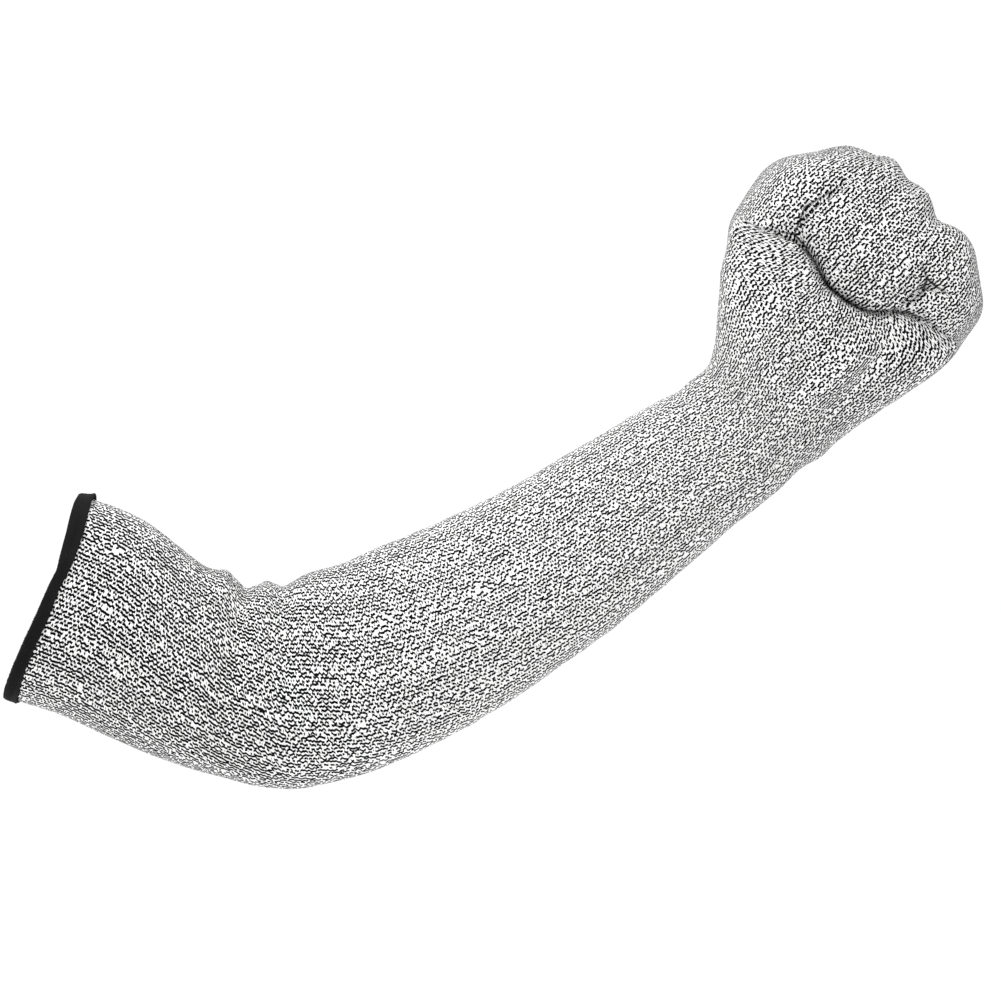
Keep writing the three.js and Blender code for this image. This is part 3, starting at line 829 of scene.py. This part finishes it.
def knitGrids():
    # rings of the outer face and of the smooth shape under it, from the opening to the crease
    base, sharp = [], []
    angle = np.arange(knit["rays"]) / knit["rays"] * 2 * math.pi
    armRings = round((armLength - knit["edgeInBinding"]) / knit["ringStep"])
    for i in range(armRings):
        distance = mix(knit["edgeInBinding"], armLength, i / armRings)
        fade = 1 - smooth(distance, 0, openingEdge["fadesOver"])
        points, outward = armRing(distance + fade * edgeAt(angle, "drawnBack"), angle)
        ripples = foldHeight(points, knitRelief["foldHeight"], knitRelief["foldWidth"])
        even, evenFine = evenRing(points, [points + outward * ripples[:, None]], knit["wales"])
        base.append(even)
        sharp.append(evenFine)
    for i in range(knit["handRings"] + 1):
        share = 1 - (1 - i / knit["handRings"]) ** worn["crowdPower"]
        points, fine = handRing(share, knit["rays"])
        even, evenFine = evenRing(points, [fine], knit["wales"])
        base.append(even)
        sharp.append(evenFine)
    return np.array(base), np.array(sharp), armRings


def waleShares(base, armRings, onHand):
    # how many of the wales each ring shows, on its front half and on its back half
    ringCount, columns = base.shape[:2]
    alongArm = np.interp(np.arange(ringCount) / armRings, knit["narrowAt"], knit["narrowTo"])
    left = mix(alongArm, 1, smooth(onHand, 0, 1))
    # behind the closed end a wale keeps its width, so their number follows the ring's back half
    behind = base[:, np.r_[columns // 2:columns, 0]]
    backHalf = np.linalg.norm(np.diff(behind, axis=1), axis=2).sum(axis=1)
    broader = np.maximum.accumulate(backHalf[armRings:] / backHalf[armRings]) * left[armRings]
    return left, np.r_[left[:armRings], np.minimum(broader, knit["backOfHand"])]


def stitchMaps(base, armRings):
    # wales across and rows of loops along: for the tube, and for the front past the crease
    ringCount, columns = base.shape[:2]
    half = columns // 2
    steps = np.linalg.norm(np.diff(base, axis=0), axis=2)
    run = np.r_[0, np.cumsum(steps.mean(axis=1))]
    rows = np.vstack([np.zeros(columns), np.cumsum(steps, axis=0)])
    rows[:armRings + 1] = rows[:armRings + 1].mean(axis=1, keepdims=True)
    rows[armRings + 1:] = rows[armRings] + np.cumsum(steps[armRings:], axis=0)
    rows = np.hstack([rows, rows[:, :1]]) / knit["courseLength"]

    handShare = (np.arange(ringCount) - armRings) / (ringCount - 1 - armRings)
    onHand = np.clip(handShare / knit["fullAgainAt"], 0, 1)
    winding = np.interp(run, knit["windingAt"], knit["winding"])
    twist = np.r_[0, np.cumsum((winding[1:] + winding[:-1]) / 2 * np.diff(run))]
    wales = []
    for side, present in enumerate(waleShares(base, armRings, onHand)):
        centre = (side + 0.5) * half
        away = np.arange(side * half, (side + 1) * half + 1) - centre
        away = away * (1 - knit["widerAtEdges"] * (away / (half / 2)) ** 2)
        wales.append(centre + away * present[:, None] - twist[:, None])

    tilt = math.radians(knit["fingerTilt"])
    fromCentre = base - tuckCentre - palmAhead * knit["fingerCentre"] * worn["fistWidth"]
    turned = np.clip(base[..., 1] / worn["fistDepth"] * 2 + 1, 0, 2)
    spread = 1 + knit["fingerTurn"] * turned ** 2
    fingerWales = 1.5 * half + fromCentre @ upward(tilt) * spread / knit["fingerWale"]
    fingerRows = rows[-1].max() - fromCentre @ ahead(tilt) * spread / knit["courseLength"]
    onFingers = (base[..., 1] < -knit["fingersBefore"]) & (onHand > knit["fingersAfter"])[:, None]
    return run, rows, wales, fingerWales, fingerRows, onFingers


def makeKnitSleeve():
    base, sharp, armRings = knitGrids()
    ringCount, columns = base.shape[:2]
    half = columns // 2
    outerFaces, outerCorners = gridFaces(ringCount, columns, 0, False)
    normals = vertexNormals(base.reshape(-1, 3), outerFaces)
    last = (ringCount - 1) * columns      # the last ring's second half takes its partner's place
    for j in range(columns):
        normals[last + j] = normals[last + min(j, (columns - j) % columns)]
    mouth = ahead(sections[0][2])
    rim = normals[:columns] - (normals[:columns] @ mouth)[:, None] * mouth
    normals[:columns] = rim / np.linalg.norm(rim, axis=1, keepdims=True)
    outer = sharp.reshape(-1, 3)
    settle = smooth(np.arange(ringCount), 0, knitRelief["unevenAfterRings"])[:, None] * np.ones(columns)
    outer = outer + normals * (unevenness(outer) * knitRelief["unevenness"] * settle.ravel())[:, None]
    innerRows = sorted({*range(0, ringCount, knit["innerEvery"]), ringCount - 1})
    inner = (outer - normals * knit["wall"]).reshape(ringCount, columns, 3)[innerRows].reshape(-1, 3)
    offset = len(outer)
    innerFaces, innerCorners = gridFaces(len(innerRows), columns, offset, True)
    rimFaces, rimCorners = [], []
    for j in range(columns):
        following = (j + 1) % columns
        rimFaces.append([j, offset + j, offset + following, following])
        rimCorners.append([(0, j), (1, j), (1, j + 1), (0, j + 1)])

    run, rows, wales, fingerWales, fingerRows, onFingers = stitchMaps(base, armRings)
    share, margin = knit["bakeShare"], knit["bakeMargin"]

    def between(low, high, part):
        # a place in the bake map, clear of its ends
        return low + margin + part * (high - low - 2 * margin)

    mean = run / run[-1]
    stitchUv, bakeUv = [], []
    for cell in outerCorners:
        side = min(j for i, j in cell) // half       # 0 on the front, 1 on the back
        straight = side == 1 and all(onFingers[i, j % columns] for i, j in cell)
        for i, j in cell:
            if straight:
                stitchUv.append((fingerWales[i, j % columns], fingerRows[i, j % columns]))
            else:
                stitchUv.append((wales[side][i, j - side * half], rows[i, j]))
            bakeUv.append((between(0, share, j / columns), between(0, 1, mean[i])))
    for cell in innerCorners:
        for i, j in cell:
            row = innerRows[i]
            stitchUv.append((j + columns, rows[row, j]))
            innerPlace = mix(share + margin, knit["bakeInnerEnd"], j / columns)
            bakeUv.append((innerPlace, between(0, 1, mean[row])))
    for cell in rimCorners:
        for i, j in cell:
            stitchUv.append((j, rows[0, 0] - i))
            bakeUv.append((knit["bakeRim"][i], between(0, 1, j / columns)))

    # the last ring's unused second half is dropped
    faces = outerFaces + innerFaces + rimFaces
    points = np.vstack([outer, inner])
    used = np.unique(np.array(faces))
    place = np.zeros(len(points), int)
    place[used] = np.arange(len(used))
    faces = [[int(place[v]) for v in face] for face in faces]
    piece = addObject("marl_knit_sleeve", points[used], faces, {"knitUV": stitchUv, "OFBake": bakeUv})
    piece.data.materials.append(marlKnit)
    print("knitted tube made:", len(faces), "faces")
    return piece


knitSleeve = makeKnitSleeve()

# The binding over the knit's edge: a rounded core and the turns of thread on it, in millimetres
binding = {
    "around": 200, "clearance": 0.3, "thickness": 0.75, "rounding": 0.5,
    "topFlare": 1.0, "bottomFlare": 0.4,   # its knit side stands off the fabric above and below
    "topSlope": 0.24,                      # and the whole binding leans above
    "scallop": 0.32, "scallops": (60, 97),
    "wraps": 292, "threadRadius": 0.42, "wrapSegments": 12, "wrapSides": 4,
    "wrapBeyond": 0.6, "wrapSunk": 0.35,   # the turns are longer than the core, and sunk into it
    "flatness": (0.72, 0.5),               # powers that make a turn squarer than a circle
    "lengthVariation": 0.03, "slant": 0.07, "leastSlant": 0.3, "seed": 7, "nextSeed": 11.0,
}


def topSlope(angle):
    return binding["topSlope"] * np.clip(np.cos(angle), 0, 1) ** 8


def bindingFlare(angle, share):
    top = np.clip(np.cos(angle), 0, 1) ** 8
    bottom = np.clip(-np.cos(angle), 0, 1) ** 8
    return (binding["topFlare"] * top + binding["bottomFlare"] * bottom) * share ** 2


def makeBindingCore():
    clear, thick, rounding = binding["clearance"], binding["thickness"], binding["rounding"]
    top = clear + thick
    under = -knit["wall"] - clear
    bottom = under - thick
    # its section: share of the width, millimetres added to that, and how far out from the knit
    profile = [
        (0.0, 0.0, bottom + rounding), (0.0, rounding * 0.35, bottom + rounding * 0.3),
        (0.0, rounding, bottom), (0.5, 0.0, bottom), (1.0, -rounding, bottom),
        (1.0, 0.0, bottom + rounding * 0.6), (1.0, 0.0, under), (0.5, 0.0, under), (0.0, 1.0, under),
        (0.0, 1.0, clear), (0.5, 0.0, clear), (1.0, 0.0, clear), (1.0, 0.0, top - rounding * 0.6),
        (1.0, -rounding, top), (0.75, 0.0, top), (0.5, 0.0, top), (0.25, 0.0, top),
        (0.0, rounding, top), (0.0, rounding * 0.35, top - rounding * 0.3), (0.0, 0.0, top - rounding),
    ]
    count = binding["around"]
    angle = np.arange(count) / count * 2 * math.pi
    drawn, width = edgeAt(angle, "drawnBack"), edgeAt(angle, "width")
    points = []
    for share, extra, out in profile:
        ring, outward = armRing(drawn + share * width + extra, angle)
        lift = out + topSlope(angle) * (share - 0.5) * width
        if out > 0:
            lift = lift + bindingFlare(angle, share)
        points.append(ring + outward * lift[:, None])
    rows = len(profile)
    faces = []
    for i in range(rows):
        for j in range(count):
            row, nextRow, following = i * count, (i + 1) % rows * count, (j + 1) % count
            faces.append([row + j, nextRow + j, nextRow + following, row + following])
    return addObject("binding_core", np.vstack(points), faces)


def newTree(name, inputs):
    tree = bpy.data.node_groups.new(name, "GeometryNodeTree")
    tree.interface.new_socket(name="Geometry", in_out="INPUT", socket_type="NodeSocketGeometry")
    for label, kind, value in inputs:
        socket = tree.interface.new_socket(name=label, in_out="INPUT", socket_type=kind)
        if value is not None:
            socket.default_value = value
    tree.interface.new_socket(name="Geometry", in_out="OUTPUT", socket_type="NodeSocketGeometry")
    return tree, tree.nodes.new("NodeGroupInput"), tree.nodes.new("NodeGroupOutput")


def namedValue(tree, name, kind="FLOAT_VECTOR"):
    node = tree.nodes.new("GeometryNodeInputNamedAttribute")
    node.data_type = kind
    node.inputs["Name"].default_value = name
    return node.outputs["Attribute"]


def makeWrapTree():
    # One turn of thread round the fabric's edge at every point of the edge's path
    tree, into, out = newTree("edgeWraps", [
        ("Wrap Height", "NodeSocketFloat", 0.004),
        ("Thread Radius", "NodeSocketFloat", 0.0004),
        ("Segments", "NodeSocketInt", 12),
        ("Sides", "NodeSocketInt", 4),
        ("Length Variation", "NodeSocketFloat", 0.1),
        ("Slant", "NodeSocketFloat", 0.07),
        ("Seed", "NodeSocketInt", 7),
        ("Material", "NodeSocketMaterial", None),
    ])
    link = tree.links.new
    circle = tree.nodes.new("GeometryNodeCurvePrimitiveCircle")
    circle.inputs["Radius"].default_value = 1.0
    link(into.outputs["Segments"], circle.inputs["Resolution"])
    # the turn is flat on the fabric, and rounded at its two ends
    where = tree.nodes.new("GeometryNodeInputPosition")
    parts = tree.nodes.new("ShaderNodeSeparateXYZ")
    link(where.outputs[0], parts.inputs[0])
    square = tree.nodes.new("ShaderNodeCombineXYZ")
    for k, length, socket in ((0, 1.0, 0), (1, into.outputs["Wrap Height"], 2)):
        size = calc(tree, "POWER", calc(tree, "ABSOLUTE", parts.outputs[k]), binding["flatness"][k])
        size = calc(tree, "MULTIPLY", size, calc(tree, "SIGN", parts.outputs[k]))
        link(calc(tree, "MULTIPLY", size, calc(tree, "MULTIPLY", length, 0.5)), square.inputs[socket])
    shape = tree.nodes.new("GeometryNodeSetPosition")
    link(circle.outputs["Curve"], shape.inputs["Geometry"])
    link(square.outputs[0], shape.inputs["Position"])

    lay = tree.nodes.new("FunctionNodeAlignRotationToVector")
    lay.axis = "Z"
    link(namedValue(tree, "outward"), lay.inputs["Vector"])
    face = tree.nodes.new("FunctionNodeAlignRotationToVector")
    face.axis = "X"
    face.pivot_axis = "Z"
    link(lay.outputs[0], face.inputs["Rotation"])
    link(namedValue(tree, "inward"), face.inputs["Vector"])
    lean = tree.nodes.new("FunctionNodeRandomValue")
    lean.data_type = "FLOAT"
    link(calc(tree, "MULTIPLY", into.outputs["Slant"], binding["leastSlant"]), lean.inputs[2])
    link(into.outputs["Slant"], lean.inputs[3])
    link(into.outputs["Seed"], lean.inputs["Seed"])
    leanVector = tree.nodes.new("ShaderNodeCombineXYZ")
    link(lean.outputs[1], leanVector.inputs[2])
    turned = tree.nodes.new("FunctionNodeRotateRotation")
    turned.rotation_space = "LOCAL"
    link(face.outputs[0], turned.inputs[0])
    link(leanVector.outputs[0], turned.inputs[1])

    change = tree.nodes.new("FunctionNodeRandomValue")
    change.data_type = "FLOAT"
    link(calc(tree, "SUBTRACT", 1.0, into.outputs["Length Variation"]), change.inputs[2])
    link(calc(tree, "ADD", 1.0, into.outputs["Length Variation"]), change.inputs[3])
    link(calc(tree, "ADD", into.outputs["Seed"], binding["nextSeed"]), change.inputs["Seed"])
    scale = tree.nodes.new("ShaderNodeCombineXYZ")
    link(calc(tree, "MULTIPLY", change.outputs[1], namedValue(tree, "reach", "FLOAT")), scale.inputs[0])
    scale.inputs[1].default_value = 1.0
    scale.inputs[2].default_value = 1.0
    place = tree.nodes.new("GeometryNodeInstanceOnPoints")
    link(into.outputs["Geometry"], place.inputs["Points"])
    link(shape.outputs[0], place.inputs["Instance"])
    link(turned.outputs[0], place.inputs["Rotation"])
    link(scale.outputs[0], place.inputs["Scale"])
    realize = tree.nodes.new("GeometryNodeRealizeInstances")
    link(place.outputs[0], realize.inputs[0])
    section = tree.nodes.new("GeometryNodeCurvePrimitiveCircle")
    link(into.outputs["Sides"], section.inputs["Resolution"])
    link(into.outputs["Thread Radius"], section.inputs["Radius"])
    thread = tree.nodes.new("GeometryNodeCurveToMesh")
    link(realize.outputs[0], thread.inputs["Curve"])
    link(section.outputs["Curve"], thread.inputs["Profile Curve"])
    rounded = tree.nodes.new("GeometryNodeSetShadeSmooth")
    link(thread.outputs[0], rounded.inputs["Geometry"])
    painted = tree.nodes.new("GeometryNodeSetMaterial")
    link(rounded.outputs[0], painted.inputs["Geometry"])
    link(into.outputs["Material"], painted.inputs["Material"])
    link(painted.outputs[0], out.inputs[0])
    return tree


def runTree(guide, tree, values, name):
    # evaluates the tree on a guide and keeps the result as a plain mesh
    modifier = guide.modifiers.new("build", "NODES")
    modifier.node_group = tree
    for item in tree.interface.items_tree:
        if item.in_out == "INPUT" and item.name in values:
            modifier[item.identifier] = values[item.name]
    graph = bpy.context.evaluated_depsgraph_get()
    graph.update()
    mesh = bpy.data.meshes.new_from_object(guide.evaluated_get(graph), preserve_all_data_layers=True,
                                           depsgraph=graph)
    mesh.name = name
    guide.modifiers.remove(modifier)
    piece = bpy.data.objects.new(name, mesh)
    bpy.context.scene.collection.objects.link(piece)
    bpy.data.objects.remove(guide)
    return piece


def makeEdgeWraps():
    count = binding["wraps"]
    angle = np.arange(count) / count * 2 * math.pi
    drawn, width = edgeAt(angle, "drawnBack"), edgeAt(angle, "width")
    thread = binding["threadRadius"]
    ring, outward = armRing(drawn + width / 2, angle)
    knitSide, _ = armRing(drawn + width, angle)
    openSide, _ = armRing(drawn, angle)
    inward = knitSide - openSide
    inward /= np.linalg.norm(inward, axis=1, keepdims=True)
    # the turns reach unevenly far over the knit, and not at the opening
    first, second = binding["scallops"]
    scallop = binding["scallop"] * (np.sin(first * angle) + 0.6 * np.sin(second * angle + 1))
    ring = ring + inward * (scallop / 2)[:, None]
    inward = inward + outward * topSlope(angle)[:, None]
    inward /= np.linalg.norm(inward, axis=1, keepdims=True)
    outward = outward - (outward * inward).sum(1)[:, None] * inward
    outward /= np.linalg.norm(outward, axis=1, keepdims=True)
    guide = addObject("wrap_guide", ring - outward * knit["wall"] / 2, [])
    reach = (width + scallop + binding["wrapBeyond"] - 2 * thread) * millimetre
    for name, kind, values in (("outward", "FLOAT_VECTOR", outward), ("inward", "FLOAT_VECTOR", inward),
                               ("reach", "FLOAT", reach)):
        attribute = guide.data.attributes.new(name, kind, "POINT")
        attribute.data.foreach_set("vector" if kind == "FLOAT_VECTOR" else "value",
                                   np.asarray(values, np.float32).ravel())
    height = knit["wall"] + 2 * (binding["clearance"] + binding["thickness"]) - binding["wrapSunk"]
    return runTree(guide, makeWrapTree(), {
        "Wrap Height": height * millimetre, "Thread Radius": thread * millimetre,
        "Segments": binding["wrapSegments"], "Sides": binding["wrapSides"],
        "Length Variation": binding["lengthVariation"], "Slant": binding["slant"],
        "Seed": binding["seed"], "Material": edgeThread,
    }, "edge_wraps")


bindingCore = makeBindingCore()
bindingCore.data.materials.append(edgeThread)
edgeWraps = makeEdgeWraps()
print("binding made:", len(edgeWraps.data.polygons), "faces of thread")

for piece, slotName, node in ((knitSleeve, "marl_knit", "knit_sleeve"),
                              (bindingCore, "edge_thread", "edge_band"),
                              (edgeWraps, "edge_thread", "edge_band")):
    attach(piece, "root")
    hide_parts(node)

# Floor, light and camera, in metres
studio = {
    "floorHeight": -0.24, "floorHalf": 14.0, "floorColour": (0.97, 0.97, 0.97, 1),
    "floorRoughness": 0.9, "floorSpecular": 0.1,
    "worldColour": (1, 1, 1, 1), "worldStrength": 1.06,
    # each light's place, size and energy
    "lights": {"keyLight": ((-0.3, -0.9, 1.8), 1.0, 32), "fillLight": ((1.3, -1.4, 0.5), 1.2, 4)},
    "frameWidth": 0.44044, "cameraDistance": 2.6, "frameCentre": (0.2013, 0.0418),
    "sensorWidth": 36, "cameraSees": 60,
}


def makeFloor():
    half, z = studio["floorHalf"], studio["floorHeight"]
    mesh = bpy.data.meshes.new("floor")
    corners = [(-half, -half, z), (half, -half, z), (half, half, z), (-half, half, z)]
    mesh.from_pydata(corners, [], [(0, 1, 2, 3)])
    floor = bpy.data.objects.new("floor", mesh)
    bpy.context.scene.collection.objects.link(floor)
    material, _, shader = newMaterial("paleFloor")
    shader.inputs["Base Color"].default_value = studio["floorColour"]
    shader.inputs["Roughness"].default_value = studio["floorRoughness"]
    shader.inputs["Specular IOR Level"].default_value = studio["floorSpecular"]
    mesh.materials.append(material)


def addLight(name, target, place, size, energy):
    light = bpy.data.lights.new(name, "AREA")
    light.size = size
    light.energy = energy
    lamp = bpy.data.objects.new(name, light)
    lamp.location = place
    x, y, z = np.array(place) - np.array(target)
    lamp.rotation_euler = (math.atan2(math.hypot(x, y), z), 0, math.atan2(y, x) + math.pi / 2)
    bpy.context.scene.collection.objects.link(lamp)


def setStudio():
    bpy.context.scene.view_settings.view_transform = "Standard"
    makeFloor()
    world = bpy.data.worlds.new("paleRoom")
    world.use_nodes = True
    background = world.node_tree.nodes["Background"]
    background.inputs["Color"].default_value = studio["worldColour"]
    background.inputs["Strength"].default_value = studio["worldStrength"]
    bpy.context.scene.world = world
    x, z = studio["frameCentre"]
    for name, (place, size, energy) in studio["lights"].items():
        addLight(name, (x, 0, z), place, size, energy)
    camera = bpy.data.cameras.new("camera")
    camera.sensor_width = studio["sensorWidth"]
    camera.lens = studio["sensorWidth"] * studio["cameraDistance"] / studio["frameWidth"]
    camera.clip_end = studio["cameraSees"]
    eye = bpy.data.objects.new("camera", camera)
    eye.location = (x, -studio["cameraDistance"], z)
    eye.rotation_euler = (math.pi / 2, 0, 0)
    bpy.context.scene.collection.objects.link(eye)
    bpy.context.scene.camera = eye


setStudio()
print("studio set")
